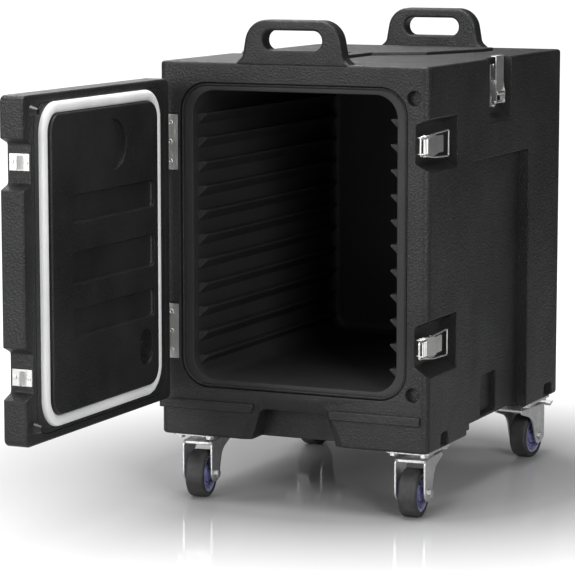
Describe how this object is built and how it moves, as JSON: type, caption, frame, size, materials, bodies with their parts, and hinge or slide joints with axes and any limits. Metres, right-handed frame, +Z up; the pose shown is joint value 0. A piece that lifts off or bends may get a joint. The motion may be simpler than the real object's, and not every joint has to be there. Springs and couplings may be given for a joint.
{
  "type": "insulated food carrier",
  "caption": "Black front-loading insulated box for gastronorm food pans, with a hinged side-swinging door, ledge rails, draw latches, top handles and swivel casters.",
  "frame": {"origin": "on the floor, under the middle of the moulded body", "axes": "+Z up, the mouth faces -Y, +X to the right as seen from the front, the door hinges are on the left"},
  "size_m": [0.455, 1.1183, 0.756],
  "materials": {
    "shell_plastic": "matte",
    "liner_plastic": "satin",
    "foam": "matte",
    "gasket": "matte",
    "vent_plug": "satin",
    "stainless": "satin",
    "zinc": "satin",
    "hub_plastic": "satin",
    "tyre_rubber": "matte"
  },
  "bodies": {
    "body": {"outer_shell": "shell_plastic", "body_foam": "foam", "inner_liner": "liner_plastic", "pan_rails_left": "liner_plastic", "pan_rails_right": "liner_plastic", "hinge_brackets": "stainless", "hinge_pins": "stainless", "latch_bases": "stainless", "latch_pivot_pins": "stainless", "stack_latch_base_left": "stainless", "stack_latch_base_right": "stainless", "stack_latch_pin_left": "stainless", "stack_latch_pin_right": "stainless", "caster_plates": "zinc", "caster_bolts": "zinc", "hinge_bracket_screws": "stainless", "latch_base_screws": "stainless", "stack_latch_screws_left": "stainless", "stack_latch_screws_right": "stainless"},
    "door": {"door_outer_shell": "shell_plastic", "door_inner_panel": "shell_plastic", "door_foam": "foam", "door_gasket": "gasket", "vent_plug": "vent_plug", "door_locating_pins": "liner_plastic", "hinge_leaves": "stainless", "latch_keepers": "stainless", "hinge_leaf_screws": "stainless", "keeper_screws": "stainless"},
    "lever_upper": {"latch_lever_upper": "stainless"},
    "bail_upper": {"latch_bail_upper": "stainless"},
    "lever_lower": {"latch_lever_lower": "stainless"},
    "bail_lower": {"latch_bail_lower": "stainless"},
    "stack_lever_left": {"stack_latch_lever_left": "stainless"},
    "stack_hook_left": {"stack_latch_hook_left": "stainless"},
    "stack_lever_right": {"stack_latch_lever_right": "stainless"},
    "stack_hook_right": {"stack_latch_hook_right": "stainless"},
    "fork_front_left": {"caster_fork_front_left": "zinc", "caster_axle_front_left": "zinc"},
    "wheel_front_left": {"caster_hub_front_left": "hub_plastic", "caster_tyre_front_left": "tyre_rubber"},
    "fork_front_right": {"caster_fork_front_right": "zinc", "caster_axle_front_right": "zinc"},
    "wheel_front_right": {"caster_hub_front_right": "hub_plastic", "caster_tyre_front_right": "tyre_rubber"},
    "fork_rear_left": {"caster_fork_rear_left": "zinc", "caster_axle_rear_left": "zinc"},
    "wheel_rear_left": {"caster_hub_rear_left": "hub_plastic", "caster_tyre_rear_left": "tyre_rubber"},
    "brake_rear_left": {"brake_pedal_rear_left": "zinc"},
    "fork_rear_right": {"caster_fork_rear_right": "zinc", "caster_axle_rear_right": "zinc"},
    "wheel_rear_right": {"caster_hub_rear_right": "hub_plastic", "caster_tyre_rear_right": "tyre_rubber"},
    "brake_rear_right": {"brake_pedal_rear_right": "zinc"}
  },
  "joints": [
    {"name": "door_swing", "type": "hinge", "parent": "body", "child": "door", "pos_m": [-0.225, -0.3445, 0.418], "axis": [0, 0, 1], "range_deg": [-140, 90]},
    {"name": "latch_lever_upper_swing", "type": "hinge", "parent": "body", "child": "lever_upper", "pos_m": [0.2135, -0.296, 0.572], "axis": [0, 0, -1], "range_deg": [0, 115]},
    {"name": "latch_bail_upper_swing", "type": "hinge", "parent": "lever_upper", "child": "bail_upper", "pos_m": [0.219, -0.285, 0.572], "axis": [0, 0, 1], "range_deg": [0, 115]},
    {"name": "latch_lever_lower_swing", "type": "hinge", "parent": "body", "child": "lever_lower", "pos_m": [0.2135, -0.296, 0.267], "axis": [0, 0, -1], "range_deg": [0, 115]},
    {"name": "latch_bail_lower_swing", "type": "hinge", "parent": "lever_lower", "child": "bail_lower", "pos_m": [0.219, -0.285, 0.267], "axis": [0, 0, 1], "range_deg": [0, 115]},
    {"name": "stack_latch_left_swing", "type": "hinge", "parent": "body", "child": "stack_lever_left", "pos_m": [-0.2175, 0.006, 0.65], "axis": [0, 1, 0], "range_deg": [0, 140]},
    {"name": "stack_hook_left_pivot", "type": "hinge", "parent": "stack_lever_left", "child": "stack_hook_left", "pos_m": [-0.2215, 0.006, 0.634], "axis": [0, 1, 0], "range_deg": [-140, 0]},
    {"name": "stack_latch_right_swing", "type": "hinge", "parent": "body", "child": "stack_lever_right", "pos_m": [0.2175, 0.006, 0.65], "axis": [0, -1, 0], "range_deg": [0, 140]},
    {"name": "stack_hook_right_pivot", "type": "hinge", "parent": "stack_lever_right", "child": "stack_hook_right", "pos_m": [0.2215, 0.006, 0.634], "axis": [0, -1, 0], "range_deg": [-140, 0]},
    {"name": "caster_front_left_swivel", "type": "hinge", "parent": "body", "child": "fork_front_left", "pos_m": [-0.177, -0.24, 0.095], "axis": [0, 0, 1], "continuous": true},
    {"name": "caster_front_left_roll", "type": "hinge", "parent": "fork_front_left", "child": "wheel_front_left", "pos_m": [-0.17449, -0.26387, 0.0375], "axis": [0.9945, 0.1045, 0], "continuous": true},
    {"name": "caster_front_right_swivel", "type": "hinge", "parent": "body", "child": "fork_front_right", "pos_m": [0.185, -0.24, 0.095], "axis": [0, 0, 1], "continuous": true},
    {"name": "caster_front_right_roll", "type": "hinge", "parent": "fork_front_right", "child": "wheel_front_right", "pos_m": [0.18667, -0.26394, 0.0375], "axis": [0.9976, 0.0698, 0], "continuous": true},
    {"name": "caster_rear_left_swivel", "type": "hinge", "parent": "body", "child": "fork_rear_left", "pos_m": [-0.18, 0.228, 0.095], "axis": [0, 0, 1], "continuous": true},
    {"name": "caster_rear_left_roll", "type": "hinge", "parent": "fork_rear_left", "child": "wheel_rear_left", "pos_m": [-0.18334, 0.20423, 0.0375], "axis": [0.9903, -0.1392, 0], "continuous": true},
    {"name": "brake_rear_left_press", "type": "hinge", "parent": "fork_rear_left", "child": "brake_rear_left", "pos_m": [-0.18431, 0.1973, 0.079], "axis": [0.9903, -0.1392, 0], "range_deg": [0, 6]},
    {"name": "caster_rear_right_swivel", "type": "hinge", "parent": "body", "child": "fork_rear_right", "pos_m": [0.185, 0.228, 0.095], "axis": [0, 0, 1], "continuous": true},
    {"name": "caster_rear_right_roll", "type": "hinge", "parent": "fork_rear_right", "child": "wheel_rear_right", "pos_m": [0.18751, 0.25187, 0.0375], "axis": [-0.9945, 0.1045, 0], "continuous": true},
    {"name": "brake_rear_right_press", "type": "hinge", "parent": "fork_rear_right", "child": "brake_rear_right", "pos_m": [0.18824, 0.25883, 0.079], "axis": [-0.9945, 0.1045, 0], "range_deg": [0, 6]}
  ],
  "couplings": [
    {"joint": "stack_hook_left_pivot", "follows": "stack_latch_left_swing", "ratio": -1},
    {"joint": "stack_hook_right_pivot", "follows": "stack_latch_right_swing", "ratio": -1},
    {"joint": "latch_bail_upper_swing", "follows": "latch_lever_upper_swing", "ratio": 1},
    {"joint": "latch_bail_lower_swing", "follows": "latch_lever_lower_swing", "ratio": 1}
  ]
}
